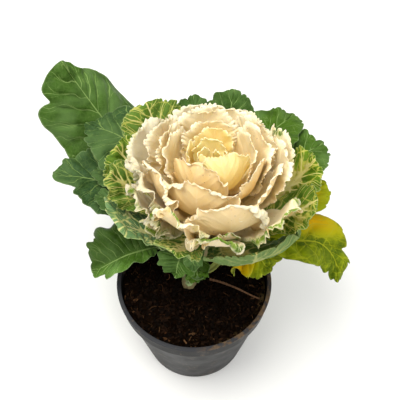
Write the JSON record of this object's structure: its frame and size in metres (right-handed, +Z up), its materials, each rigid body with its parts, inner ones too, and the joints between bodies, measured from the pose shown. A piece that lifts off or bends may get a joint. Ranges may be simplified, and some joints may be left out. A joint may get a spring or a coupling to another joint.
{
  "type": "potted ornamental kale",
  "caption": "Ornamental kale with a ruffled cream rosette over veined green leaves, on a bare stem in a round tapered nursery pot of compost.",
  "frame": {"origin": "middle of the pot's flat underside, where it rests", "axes": "+Z up out of the pot, +Y away from the side the plant is looked at from, +X to the right of it; the pot's own axis is Z"},
  "size_m": [0.2345, 0.2226, 0.2188],
  "materials": {
    "pot_plastic": "satin",
    "compost": "matte",
    "dry_stalk": "matte",
    "stem_bark": "matte",
    "heart_leaf": "satin",
    "cream_leaf": "satin",
    "variegated_leaf": "satin",
    "green_leaf": "satin",
    "yellowing_leaf": "satin"
  },
  "bodies": {
    "root": {"pot": "pot_plastic", "soil": "compost", "dry_stalk": "dry_stalk", "stem": "stem_bark", "heart": "heart_leaf", "cream_leaf_01": "cream_leaf", "cream_leaf_02": "cream_leaf", "cream_leaf_03": "cream_leaf", "cream_leaf_04": "cream_leaf", "cream_leaf_05": "cream_leaf", "cream_leaf_06": "cream_leaf", "cream_leaf_07": "cream_leaf", "cream_leaf_08": "cream_leaf", "cream_leaf_09": "cream_leaf", "cream_leaf_10": "cream_leaf", "cream_leaf_11": "cream_leaf", "cream_leaf_12": "cream_leaf", "cream_leaf_13": "cream_leaf", "cream_leaf_14": "cream_leaf", "cream_leaf_15": "cream_leaf", "cream_leaf_16": "cream_leaf", "cream_leaf_17": "cream_leaf", "cream_leaf_18": "cream_leaf", "cream_leaf_19": "cream_leaf", "cream_leaf_20": "cream_leaf", "cream_leaf_21": "cream_leaf", "cream_leaf_22": "cream_leaf", "cream_leaf_23": "cream_leaf", "cream_leaf_24": "cream_leaf", "cream_leaf_25": "cream_leaf", "cream_leaf_26": "cream_leaf", "cream_leaf_27": "cream_leaf", "cream_leaf_28": "cream_leaf", "cream_leaf_29": "cream_leaf", "cream_leaf_30": "cream_leaf", "variegated_leaf_01": "variegated_leaf", "variegated_leaf_02": "variegated_leaf", "variegated_leaf_03": "variegated_leaf", "variegated_leaf_04": "variegated_leaf", "variegated_leaf_05": "variegated_leaf", "variegated_leaf_06": "variegated_leaf", "variegated_leaf_07": "variegated_leaf", "variegated_leaf_08": "variegated_leaf", "green_leaf_01": "green_leaf", "green_leaf_02": "green_leaf", "green_leaf_03": "green_leaf", "green_leaf_04": "green_leaf", "green_leaf_05": "green_leaf", "green_leaf_06": "green_leaf", "green_leaf_07": "green_leaf", "green_leaf_08": "green_leaf", "green_leaf_12": "green_leaf", "green_leaf_13": "green_leaf", "green_leaf_14": "green_leaf", "green_leaf_15": "green_leaf", "green_leaf_16": "green_leaf", "yellowing_leaf_09": "yellowing_leaf", "yellowing_leaf_10": "yellowing_leaf", "yellowing_leaf_11": "yellowing_leaf"}
  },
  "joints": []
}
